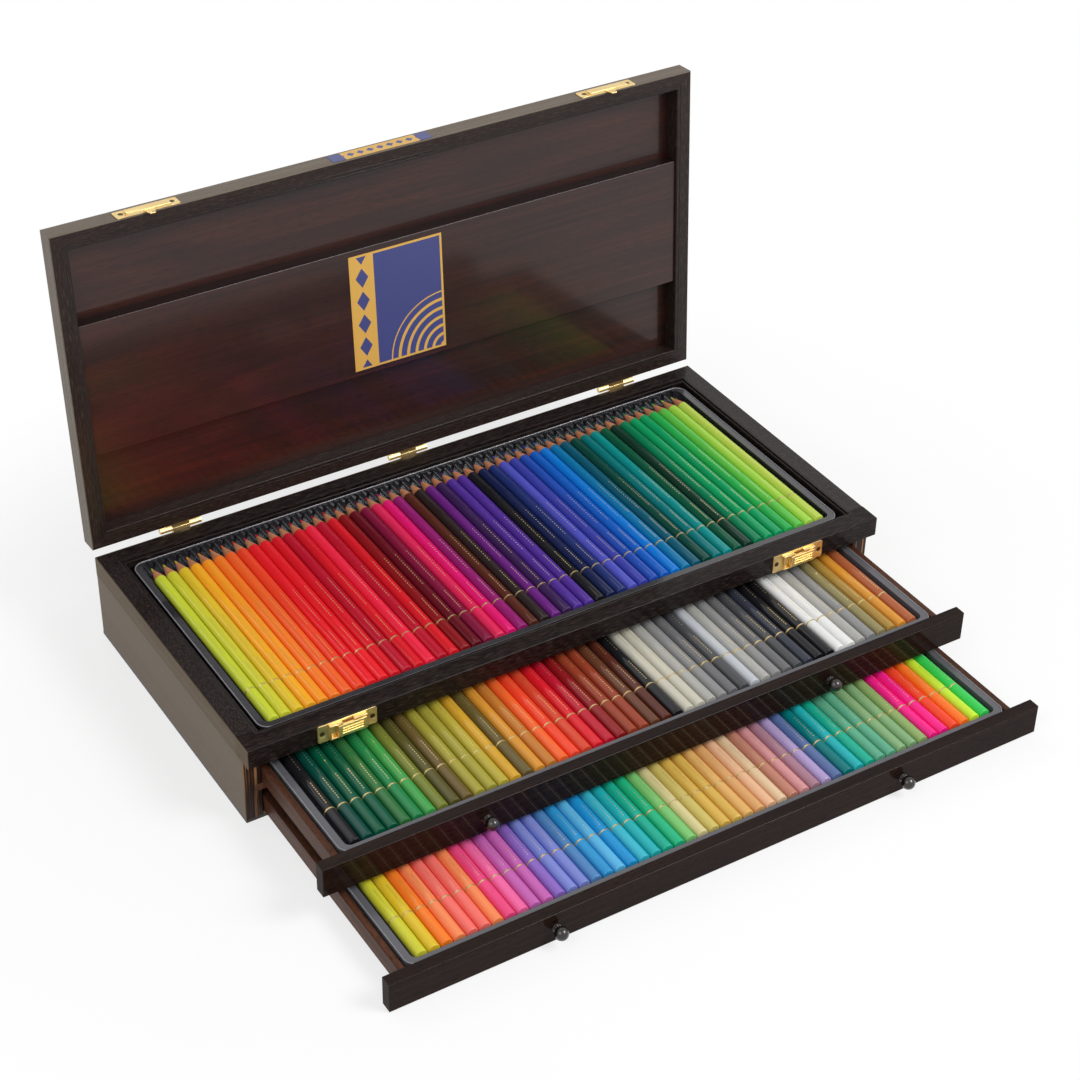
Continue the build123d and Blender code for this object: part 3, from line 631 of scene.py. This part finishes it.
pencil_rows = {
    "top_tray_pencils": """
        acid citrus yellow gold amber orange vermilion flame red red scarlet crimson scarlet
        rose_red crimson scarlet garnet wine claret rose magenta plum umber soot_brown purple
        dark_violet violet violet black dark_navy navy ultramarine indigo cobalt blue azure
        sea_blue petrol deep_pine teal turquoise pine bottle emerald viridian viridian grass
        apple lime pear
    """,
    "upper_drawer_tray_pencils": """
        black deep_pine pine pine fern meadow clover olive dark_olive moss citron citron mustard
        sunflower earth honey ochre vermilion flame brick scarlet crimson garnet rust rust brown
        umber black warm_grey warm_grey light_grey grey steel_grey dark_grey cool_grey light_grey
        grey steel_grey dark_grey slate black black white white light_grey grey khaki bronze
        honey copper
    """,
    "lower_drawer_tray_pencils": """
        citrus yellow orange salmon coral coral salmon deep_pink pink orchid orchid lilac
        periwinkle periwinkle steel_blue cerulean sky cyan_blue aqua mint jade sea_green celadon
        cream straw corn corn apricot tan peach beige clay dusty_pink mauve lavender dusk_blue
        teal mint jade eucalyptus eucalyptus sage sage moss_grey neon_pink neon_pink flame
        neon_orange neon_lime neon_green
    """,
}
pencil_pitch = 0.0082
pencil_length = 0.175
ring_start = 0.0300
pencil_profile = (
    (0.0000, 0.00000, "paint"), (0.0000, 0.00320, "paint"), (0.0001, 0.00352, "paint"),
    (0.0003, 0.00375, "paint"), (0.0007, 0.00389, "paint"), (0.0013, 0.00393, "paint"),
    (0.0018, 0.00393, "paint"), (ring_start - 0.0003, 0.00393, "paint"),
    (ring_start, 0.00393, "foil"), (ring_start + 0.0001, 0.00395, "foil"),
    (ring_start + 0.0009, 0.00395, "foil"), (ring_start + 0.0010, 0.00393, "paint"),
    (ring_start + 0.0013, 0.00393, "paint"), (0.1600, 0.00393, "paint"),
    (0.1604, 0.00393, "paint"), (0.1607, 0.00388, "paint"), (0.1608, 0.00380, "cedar"),
    (0.1611, 0.00372, "cedar"), (0.1660, 0.00245, "cedar"), (0.1708, 0.00118, "cedar"),
    (0.1710, 0.00110, "core"), (0.1730, 0.00066, "core"), (0.1746, 0.00032, "core"),
    (pencil_length, 0.00012, "core"), (pencil_length, 0.00000, "core"),
)
pencil_sides = 28
lozenge_length = 0.0016
lozenge_width = 0.00076
lozenge_runs = ((0.0350, 0.0560, 0.0021), (0.0680, 0.1060, 0.0025))
foil_gold = linear(222, 200, 142)
metal_share = 0.86


def figure_of(tree, operation, first, second=0.0, third=0.0):
    """One step of a print's geometry."""
    inputs = {0: first, 1: second, 2: third}
    return add_node(tree, "ShaderNodeMath", inputs, operation=operation).outputs[0]


def printed(tree, mask, below, above):
    """The colour above where the mask is one, and the colour below where it is zero."""
    inputs = {0: mask, 6: below, 7: above}
    return add_node(tree, "ShaderNodeMix", inputs, data_type="RGBA").outputs[2]


def lozenge_chain(tree):
    """One where foil is stamped along the top of a pencil, from the distances along it and
    round it that its mesh carries."""
    place = add_node(tree, "ShaderNodeAttribute", attribute_name="place")
    parts = add_node(tree, "ShaderNodeSeparateXYZ", {0: place.outputs["Vector"]})
    along, around = parts.outputs[0], parts.outputs[1]
    across = figure_of(tree, "DIVIDE", around, lozenge_width / 2)
    stamped = 0.0
    for run_start, run_end, pitch in lozenge_runs:
        count = int((run_end - run_start) / pitch)
        first_middle = run_start + lozenge_length / 2
        last_middle = run_start + (count - 1) * pitch + lozenge_length / 2
        from_first = figure_of(tree, "SUBTRACT", along, first_middle)
        from_middle = figure_of(tree, "PINGPONG", from_first, pitch / 2)
        reach = figure_of(tree, "MULTIPLY_ADD", from_middle, 2 / lozenge_length, across)
        inside = figure_of(tree, "LESS_THAN", reach, 1.0)
        run_middle = (first_middle + last_middle) / 2
        run_half = (last_middle - first_middle) / 2 + pitch / 2
        in_run = figure_of(tree, "COMPARE", along, run_middle, run_half)
        stamped = figure_of(tree, "MAXIMUM", stamped, figure_of(tree, "MULTIPLY", inside, in_run))
    return stamped


def painted_material(name, darken, roughness, coat, stamped=False):
    """Paint or core in the colour that each pencil carries, with or without the foil."""
    material, tree, output = new_material(name)
    coordinates = add_node(tree, "ShaderNodeTexCoord")
    carried = add_node(tree, "ShaderNodeAttribute", attribute_name="paint")
    clouds = stretched_noise(tree, coordinates.outputs["Object"], (0.003, 0.04, 0.003), 2.0)
    shade = spread(tree, clouds, 0.3, 0.7, darken, 1.0)
    colour = add_node(
        tree, "ShaderNodeMix",
        {0: 1.0, 6: carried.outputs["Color"], 7: shade}, data_type="RGBA", blend_type="MULTIPLY",
    )
    skin = stretched_noise(tree, coordinates.outputs["Object"], (0.0008, 0.004, 0.0008), 2.0)
    relief = add_node(
        tree, "ShaderNodeBump", {"Height": skin, "Strength": 0.08, "Distance": 0.0001}
    )
    shown, metallic, gloss = colour.outputs[2], 0.0, coat
    if stamped:
        foil = lozenge_chain(tree)
        shown = printed(tree, foil, shown, foil_gold)
        metallic = spread(tree, foil, 0.0, 1.0, 0.0, metal_share)
        gloss = spread(tree, foil, 0.0, 1.0, coat, 0.0)
    surface = add_node(
        tree, "ShaderNodeBsdfPrincipled",
        {
            "Base Color": shown,
            "Metallic": metallic,
            "Roughness": spread(tree, skin, 0.3, 0.7, roughness - 0.05, roughness + 0.05),
            "Specular IOR Level": 0.1,
            "Coat Weight": gloss,
            "Coat Roughness": 0.03,
            "Normal": relief.outputs[0],
        },
    )
    tree.links.new(surface.outputs[0], output.inputs["Surface"])
    return material


def metal(name, colour, worn_colour, roughness, mark_size):
    """Thin metal with a slightly uneven shine."""
    material, tree, output = new_material(name)
    coordinates = add_node(tree, "ShaderNodeTexCoord")
    marks = stretched_noise(tree, coordinates.outputs["Object"], mark_size, 3.0)
    tone = add_node(
        tree, "ShaderNodeMix",
        {0: spread(tree, marks, 0.35, 0.7), 6: colour, 7: worn_colour}, data_type="RGBA",
    )
    relief = add_node(
        tree, "ShaderNodeBump", {"Height": marks, "Strength": 0.02, "Distance": 0.0001}
    )
    surface = add_node(
        tree, "ShaderNodeBsdfPrincipled",
        {
            "Base Color": tone.outputs[2],
            "Metallic": metal_share,
            "Roughness": spread(tree, marks, 0.3, 0.7, roughness - 0.03, roughness + 0.05),
            "Normal": relief.outputs[0],
        },
    )
    tree.links.new(surface.outputs[0], output.inputs["Surface"])
    return material


pencil_materials = {
    "paint": painted_material("gloss_paint", 0.92, 0.36, 0.35, stamped=True),
    "foil": metal(
        "gold_foil", foil_gold, linear(186, 160, 104), 0.34, (0.002, 0.0005, 0.0005)
    ),
    "cedar": wood(
        "cut_cedar", along_y, (linear(196, 124, 86), linear(220, 156, 112), linear(166, 94, 64)),
        (0.003, 0.0003), 0.6, 0.3,
    ),
    "core": painted_material("coloured_core", 0.8, 0.5, 0.2),
}
zone_index = {zone: index for index, zone in enumerate(pencil_materials)}


def add_pencil(work, paint_layer, place_layer, middle_x, butt_y, axis_z, colour):
    """Turns one pencil's profile about its axis, and notes how far each point lies from
    the butt and from the line along the pencil's top."""
    rings_of_vertices = []
    for along, radius, _ in pencil_profile:
        ring = []
        for i in range(pencil_sides if radius else 1):
            angle = math.tau * i / pencil_sides
            point = work.verts.new((
                middle_x + radius * math.sin(angle),
                butt_y + along,
                axis_z + radius * math.cos(angle),
            ))
            point[place_layer] = (along, radius * min(angle, math.tau - angle), 0.0)
            ring.append(point)
        rings_of_vertices.append(ring)
    for (_, _, zone), lower, upper in zip(pencil_profile, rings_of_vertices, rings_of_vertices[1:]):
        for i in range(pencil_sides):
            j = (i + 1) % pencil_sides
            if len(lower) == 1:
                corners = (lower[0], upper[j], upper[i])
            elif len(upper) == 1:
                corners = (lower[i], lower[j], upper[0])
            else:
                corners = (lower[i], lower[j], upper[j], upper[i])
            face = work.faces.new(corners)
            face.material_index = zone_index[zone]
            face.smooth = True
            for corner in face.loops:
                corner[paint_layer] = colour


def object_of(work, name):
    """A new object with the mesh that has been worked on."""
    mesh = bpy.data.meshes.new(name)
    work.to_mesh(mesh)
    work.free()
    return linked_object(name, mesh)


for row_name, paint_names in pencil_rows.items():
    low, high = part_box(row_name)
    work = bmesh.new()
    paint_layer = work.loops.layers.float_color.new("paint")
    place_layer = work.verts.layers.float_vector.new("place")
    names = paint_names.split()
    axis_z = (low.z + high.z) / 2
    for number, paint_name in enumerate(names):
        middle_x = (low.x + high.x) / 2 + (number - (len(names) - 1) / 2) * pencil_pitch
        colour = linear(*paints[paint_name])
        add_pencil(work, paint_layer, place_layer, middle_x, low.y, axis_z, colour)
    row = object_of(work, row_name + "_painted")
    for material in pencil_materials.values():
        row.data.materials.append(material)
    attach(row, body_of_node[row_name])
    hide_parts(row_name)


# ---- Drawers ----
# Boxes of thin boards stained warm brown, butted and glued, behind a thick front in
# gloss lacquer that laps over the case's sides.
lacquered_wood = wood(
    "lacquered_espresso", along_x, (linear(26, 16, 13), linear(42, 28, 22), linear(18, 11, 9)),
    (0.006, 0.0005), 0.36, 0.08, coat=0.24, coat_roughness=0.07, specular=0.0,
)
brown_tones = (linear(58, 35, 25), linear(94, 57, 38), linear(42, 25, 18))
drawer_wood_y = wood(
    "brown_stain_long", along_y, brown_tones, (0.004, 0.0004), 0.42, 0.2, specular=0.12
)
drawer_wood_x = wood(
    "brown_stain_cross", along_x, brown_tones, (0.004, 0.0004), 0.45, 0.2, specular=0.12
)
for drawer_name in ("upper_drawer", "lower_drawer"):
    dress(lacquered_wood, drawer_name + "_front")
    dress(drawer_wood_y, drawer_name + "_left_side", drawer_name + "_right_side")
    dress(drawer_wood_x, drawer_name + "_back", drawer_name + "_floor")

# ---- Knobs ----
# Turned wooden balls in the fronts' lacquer, each on a short neck and a collar, and
# screwed on from behind the front.
knob_radius = 0.00435
knob_profile = (
    (0.00000, 0.00290), (0.00060, 0.00290), (0.00085, 0.00275), (0.00095, 0.00240),
    (0.00100, 0.00200), (0.00150, 0.00190), (0.00190, 0.00200), (0.00215, 0.00240),
    (0.00260, 0.00297), (0.00340, 0.00365), (0.00450, 0.00417), (0.00575, knob_radius),
    (0.00700, 0.00417), (0.00810, 0.00365), (0.00890, 0.00297), (0.00950, 0.00225),
    (0.00990, 0.00140), (0.01006, 0.00065), (0.01010, 0.00000),
)
knob_sides = 40
knob_lacquer = wood(
    "knob_lacquer", along_y, (linear(20, 12, 11), linear(32, 21, 18), linear(14, 9, 8)),
    (0.004, 0.0004), 0.3, 0.04, coat=0.9, coat_roughness=0.04, specular=0.2,
)
for drawer_name in ("upper_drawer", "lower_drawer"):
    low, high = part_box(drawer_name + "_knobs")
    face_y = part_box(drawer_name + "_front")[0].y
    middle_z = (low.z + high.z) / 2
    work = bmesh.new()
    for middle_x in (low.x + knob_radius, high.x - knob_radius):
        previous = None
        for out, radius in knob_profile:
            ring = []
            for i in range(knob_sides if radius else 1):
                angle = math.tau * i / knob_sides
                ring.append(work.verts.new((
                    middle_x + radius * math.cos(angle),
                    face_y - out,
                    middle_z + radius * math.sin(angle),
                )))
            for i in range(knob_sides if previous else 0):
                j = (i + 1) % knob_sides
                last = (ring[0],) if len(ring) == 1 else (ring[j], ring[i])
                work.faces.new((previous[i], previous[j], *last)).smooth = True
            previous = ring
    bmesh.ops.recalc_face_normals(work, faces=work.faces)
    knobs = object_of(work, drawer_name + "_turned_knobs")
    knobs.data.materials.append(knob_lacquer)
    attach(knobs, drawer_name)
    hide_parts(drawer_name + "_knobs")


# ---- Lid ----
# A mitred frame with a thin panel let into its back and a wide board across the
# middle, veneered in dark mahogany under gloss lacquer.
hinge_line = Vector((0, 0.1126, 0.0628))
lid_turn = math.radians(93.8)
lid_along_x = (lid_turn, 0, 0)
lid_along_y = (lid_turn, 0, math.radians(-90))
as_if_shut = (
    lid_along_x, tuple(hinge_line - Matrix.Rotation(lid_turn, 3, "X") @ hinge_line)
)
# The lid's outer faces are a light taupe rather than the frame's dark stain: painted sheen.
lid_sheen_edges = (
    (-0.2295, -0.1095, -1), (0.2295, 0.1095, 0.0752), as_if_shut,
    linear(104, 93, 82), linear(112, 101, 89), (0.12, 0.0016, 0.0016),
)
lid_frame_tones = (linear(28, 20, 17), linear(44, 32, 28), linear(60, 48, 43))
lid_wood_x = wood(
    "lid_frame_long", lid_along_x, lid_frame_tones, (0.006, 0.0006), 0.42, 0.4, coat=0.15,
    specular=0.15, edges=lid_sheen_edges,
)
lid_wood_y = wood(
    "lid_frame_short", lid_along_y, lid_frame_tones, (0.006, 0.0006), 0.42, 0.4, coat=0.15,
    specular=0.15, edges=lid_sheen_edges,
)
dress(lid_wood_x, "lid_front_member", "lid_back_member")
dress(lid_wood_y, "lid_left_member", "lid_right_member")
# The centre board's edges are darker than its face: painted shade.
board_shade_edges = (
    (-1, -0.0466, -1), (1, 0.0445, 1), as_if_shut,
    linear(26, 13, 12), linear(38, 20, 17), (0.12, 0.0016, 0.0016),
)
mahogany_tones = (linear(30, 15, 13), linear(64, 29, 20), linear(26, 13, 11))
# Each veneer's outside tones are painted light: sheen on the lid's outer faces, shade on the
# board's edges.
for mahogany_name, veneered_node, painted_light_edges in (
    ("lacquered_mahogany", "lid_top_panel", lid_sheen_edges),
    ("lacquered_mahogany_board", "lid_centre_board", board_shade_edges),
):
    mahogany = wood(
        mahogany_name, lid_along_x, mahogany_tones, (0.008, 0.00035), 0.42, 0.04,
        figure_share=0.45, coat=0.55, coat_roughness=0.11, specular=0.22, edges=painted_light_edges,
    )
    dress(mahogany, veneered_node)
open_lid = (
    Matrix.Translation(hinge_line)
    @ Matrix.Rotation(-lid_turn, 4, "X")
    @ Matrix.Translation(-hinge_line)
)
lid_half_length = 0.23
lid_half_depth = 0.11
lid_underside_z = 0.0620
for bead_name, bead_inset in (("lid_inner_bead", 0.0102), ("lid_outer_bead", 0.0078)):
    bead_frame(
        bead_name, "lid", bead_wood, (0, 0, lid_underside_z),
        (lid_half_length - bead_inset, lid_half_depth - bead_inset), 0.0004, -0.0003,
        place=open_lid,
    )

# ---- Cards ----
# Coated card, printed in navy and ochre. A large one is glued to the lid's centre board
# and a narrow one to the lid's front edge.
navy = linear(62, 68, 124)
ochre = linear(214, 168, 78)


def card_sheet(name):
    """A card's material with the coordinates of the shut lid: its node tree, those
    coordinates one by one, and the colour and sheen of the bare sheet."""
    material, tree, output = new_material(name)
    coordinates = add_node(tree, "ShaderNodeTexCoord")
    placed = add_node(
        tree, "ShaderNodeMapping",
        {
            "Vector": coordinates.outputs["Object"],
            "Rotation": as_if_shut[0],
            "Location": as_if_shut[1],
        },
    )
    parts = add_node(tree, "ShaderNodeSeparateXYZ", {0: placed.outputs[0]})
    flecks = add_node(
        tree, "ShaderNodeTexNoise", {"Vector": coordinates.outputs["Object"], "Scale": 1500.0}
    ).outputs["Fac"]
    relief = add_node(
        tree, "ShaderNodeBump", {"Height": flecks, "Strength": 0.05, "Distance": 0.0001}
    )
    surface = add_node(
        tree, "ShaderNodeBsdfPrincipled",
        {
            "Roughness": spread(tree, flecks, 0.3, 0.7, 0.32, 0.42),
            "Normal": relief.outputs[0],
        },
    )
    tree.links.new(surface.outputs[0], output.inputs["Surface"])
    return material, tree, parts.outputs, surface.inputs["Base Color"]


# The large card: an ochre column with navy lozenges at the left, and rings about the
# lower right corner of a navy field, all inside an ochre border.
card_middle_y = -0.00105
column_edge_x = -0.0165
column_middle_x = -0.0253
lozenge_pitch = 0.0083
lozenge_reach = 0.0070
lozenge_slimness = 1.5
corner_x, corner_up = 0.0342, -0.0415
ring_pitch = 0.0032
ring_line_start = 0.0021
outer_ring_reach = 0.0414
border_x, border_up = 0.0327, 0.0400
card_print, tree, (across, along, _), ink = card_sheet("card_print")
up = figure_of(tree, "SUBTRACT", card_middle_y, along)
column = figure_of(tree, "LESS_THAN", across, column_edge_x)
column_across = figure_of(tree, "ABSOLUTE", figure_of(tree, "ADD", across, -column_middle_x))
column_along = figure_of(
    tree, "PINGPONG", figure_of(tree, "ADD", up, -corner_up), lozenge_pitch
)
widened = figure_of(tree, "MULTIPLY", column_across, lozenge_slimness)
lozenges = figure_of(
    tree, "LESS_THAN", figure_of(tree, "ADD", widened, column_along), lozenge_reach
)
ring_x = figure_of(tree, "SUBTRACT", across, corner_x)
ring_up = figure_of(tree, "ADD", up, -corner_up)
ring_up_squared = figure_of(tree, "MULTIPLY", ring_up, ring_up)
ring_reach = figure_of(
    tree, "SQRT", figure_of(tree, "MULTIPLY_ADD", ring_x, ring_x, ring_up_squared)
)
ring_lines = figure_of(
    tree, "GREATER_THAN", figure_of(tree, "PINGPONG", ring_reach, ring_pitch), ring_line_start
)
within_rings = figure_of(tree, "LESS_THAN", ring_reach, outer_ring_reach)
rings = figure_of(tree, "MULTIPLY", ring_lines, within_rings)
side_border = figure_of(tree, "GREATER_THAN", figure_of(tree, "ABSOLUTE", across), border_x)
end_border = figure_of(tree, "GREATER_THAN", figure_of(tree, "ABSOLUTE", up), border_up)
border = figure_of(tree, "MAXIMUM", side_border, end_border)
colour = printed(tree, rings, navy, ochre)
colour = printed(tree, column, colour, printed(tree, lozenges, ochre, navy))
colour = printed(tree, border, colour, ochre)
tree.links.new(colour, ink)
dress(card_print, "lid_card")

# The small card: a row of navy lozenges on ochre between two navy ends.
edge_card_middle_x = -0.0040
edge_card_middle_z = 0.06885
small_lozenge_pitch = 0.0035
small_lozenge_reach = 0.0027
ends_start = 0.0265
edge_print, tree, (across, _, along), ink = card_sheet("edge_print")
from_middle = figure_of(
    tree, "ABSOLUTE", figure_of(tree, "ADD", across, -edge_card_middle_x)
)
row_across = figure_of(tree, "PINGPONG", from_middle, small_lozenge_pitch)
row_along = figure_of(
    tree, "ABSOLUTE", figure_of(tree, "SUBTRACT", along, edge_card_middle_z)
)
lozenges = figure_of(
    tree, "LESS_THAN", figure_of(tree, "ADD", row_across, row_along), small_lozenge_reach
)
ends = figure_of(tree, "GREATER_THAN", from_middle, ends_start)
colour = printed(tree, figure_of(tree, "MAXIMUM", lozenges, ends), ochre, navy)
tree.links.new(colour, ink)
dress(edge_print, "lid_edge_card")

# ---- Hinges and latches ----
# Pressed and polished brass with edges rounded by the press, held with small slotted
# screws that have darkened.
brass = metal(
    "polished_brass", linear(236, 208, 146), linear(224, 192, 126), 0.30, (0.02, 0.004, 0.004)
)
dark_brass = metal(
    "darkened_brass", linear(110, 88, 56), linear(64, 48, 32), 0.4, (0.001, 0.0008, 0.0008)
)
shortest_rounded = 0.0012
flat_within = math.radians(1)
sharpest_left = math.radians(50)
shaded_smooth_below = math.radians(32)
for node_name, press_round in (
    ("hinge_case_leaves", 0.0003), ("hinge_lid_leaves", 0.0003), ("case_latch_plates", 0.0003),
    ("lid_latch_plates", 0.00036), ("latch_slider_left", 0.0002), ("latch_slider_right", 0.0002),
):
    work = bmesh.new()
    work.from_mesh(frame["nodes"][node_name].data)
    bmesh.ops.remove_doubles(work, verts=work.verts, dist=1e-6)
    bmesh.ops.dissolve_limit(work, angle_limit=flat_within, verts=work.verts, edges=work.edges)
    rounded = [
        edge for edge in work.edges
        if len(edge.link_faces) == 2 and edge.is_convex
        and edge.calc_length() > shortest_rounded
        and edge.calc_face_angle() > sharpest_left
    ]
    bmesh.ops.bevel(
        work, geom=rounded, offset=press_round, segments=3, profile=0.5, affect="EDGES"
    )
    piece = object_of(work, node_name + "_rounded")
    for polygon in piece.data.polygons:
        polygon.use_smooth = True
    piece.data.set_sharp_from_angle(angle=shaded_smooth_below)
    piece.data.materials.append(brass)
    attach(piece, body_of_node[node_name])
    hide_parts(node_name)
dress(brass, "hinge_pins")
dress(
    dark_brass, "hinge_case_screws", "hinge_lid_screws", "case_latch_screws", "lid_latch_screws",
    "upper_drawer_knob_screws", "lower_drawer_knob_screws",
)
